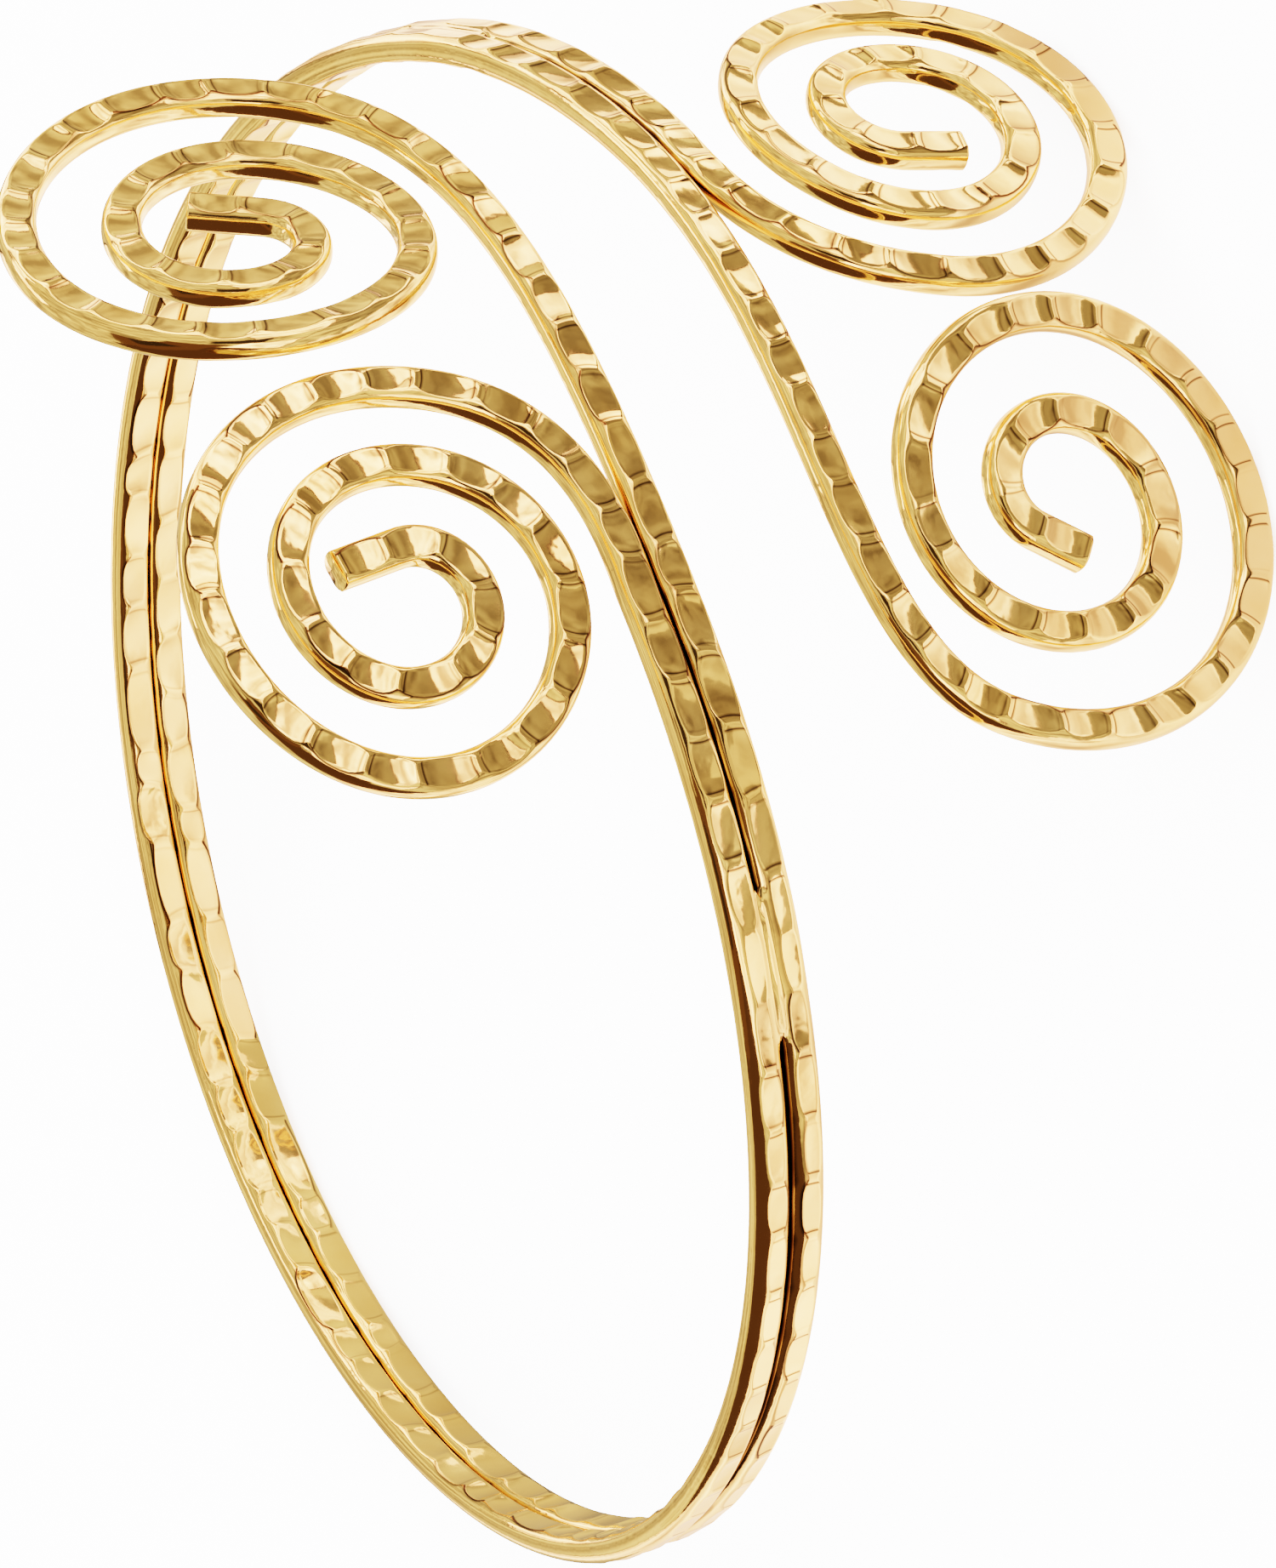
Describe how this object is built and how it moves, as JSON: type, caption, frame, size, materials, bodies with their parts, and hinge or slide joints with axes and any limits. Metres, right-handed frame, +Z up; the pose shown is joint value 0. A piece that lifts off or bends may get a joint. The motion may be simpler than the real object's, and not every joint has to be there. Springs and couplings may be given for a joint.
{
  "type": "upper arm cuff",
  "caption": "Open upper arm cuff of two hammered gold-coloured wires soldered side by side, ending in flat spirals above and below the opening.",
  "frame": {"origin": "middle of the cuff's box, on the surface that it rests on", "axes": "+Z up with the cuff lying on its side, -Y the front, where the opening and its spirals are"},
  "size_m": [0.0908, 0.094, 0.0652],
  "materials": {
    "gold_metal": "hammered and polished, gold-coloured"
  },
  "bodies": {
    "root": {"cuff": "gold_metal"}
  },
  "joints": []
}
